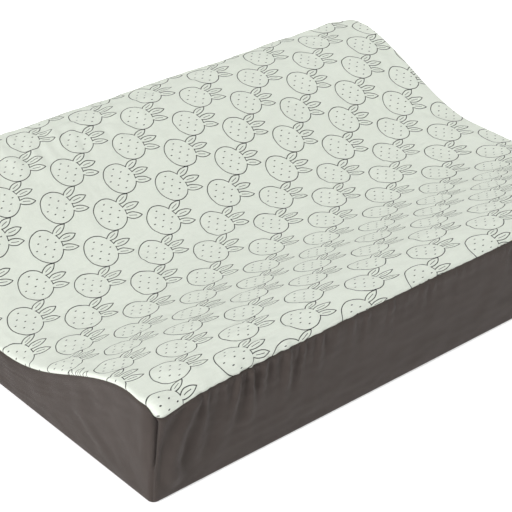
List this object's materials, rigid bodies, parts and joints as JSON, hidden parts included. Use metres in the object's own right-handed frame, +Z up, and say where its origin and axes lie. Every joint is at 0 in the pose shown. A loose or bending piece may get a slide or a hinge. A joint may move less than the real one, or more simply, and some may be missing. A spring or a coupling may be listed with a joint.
{
  "type": "changing pad",
  "caption": "Contoured baby changing pad: foam block with two raised side walls and a trough, welded liner, zipped cotton cover with a printed top.",
  "frame": {"origin": "middle of the pad's underside", "axes": "+X from the foot end to the head end, +Y from the front wall to the back wall with the zip, +Z up"},
  "size_m": [0.7, 0.5041, 0.108],
  "materials": {
    "foam": "open-cell soft foam",
    "liner": "smooth wipe-clean coated film",
    "printed_cotton": "plain-weave cotton with a charcoal line print",
    "plain_cotton": "plain-weave cotton, taupe",
    "zip_tape": "woven polyester tape",
    "zip_coil": "satin nylon coil",
    "zip_metal": "brushed nickel plate",
    "label": "blank white satin tape"
  },
  "bodies": {
    "pad": {"foam_core": "foam", "liner_upper": "liner", "liner_lower": "liner", "cover_top": "printed_cotton", "cover_front_side": "plain_cotton", "cover_back_upper": "plain_cotton", "cover_back_lower": "plain_cotton", "cover_head_end": "plain_cotton", "cover_foot_end": "plain_cotton", "cover_base": "plain_cotton", "zip_end_panel_head": "plain_cotton", "zip_end_panel_foot": "plain_cotton", "zip_tape_upper": "zip_tape", "zip_tape_lower": "zip_tape", "zip_coil_upper": "zip_coil", "zip_coil_lower": "zip_coil", "zip_top_stops": "zip_metal", "zip_bottom_stop": "zip_metal"},
    "slider": {"zip_slider": "zip_metal"},
    "pull": {"zip_pull": "zip_metal"},
    "label": {"care_label": "label"}
  },
  "joints": [
    {"name": "zip_slide", "type": "slide", "parent": "pad", "child": "slider", "axis": [1, 0, 0], "range_m": [0, 0.6]},
    {"name": "pull_flip", "type": "hinge", "parent": "slider", "child": "pull", "pos_m": [-0.3005, 0.25262, 0.027], "axis": [0, 0, -1], "range_deg": [0, 170]},
    {"name": "label_flap", "type": "hinge", "parent": "pad", "child": "label", "pos_m": [0.233, 0.25065, 0.0973], "axis": [1, 0, 0], "range_deg": [0, 120]}
  ]
}
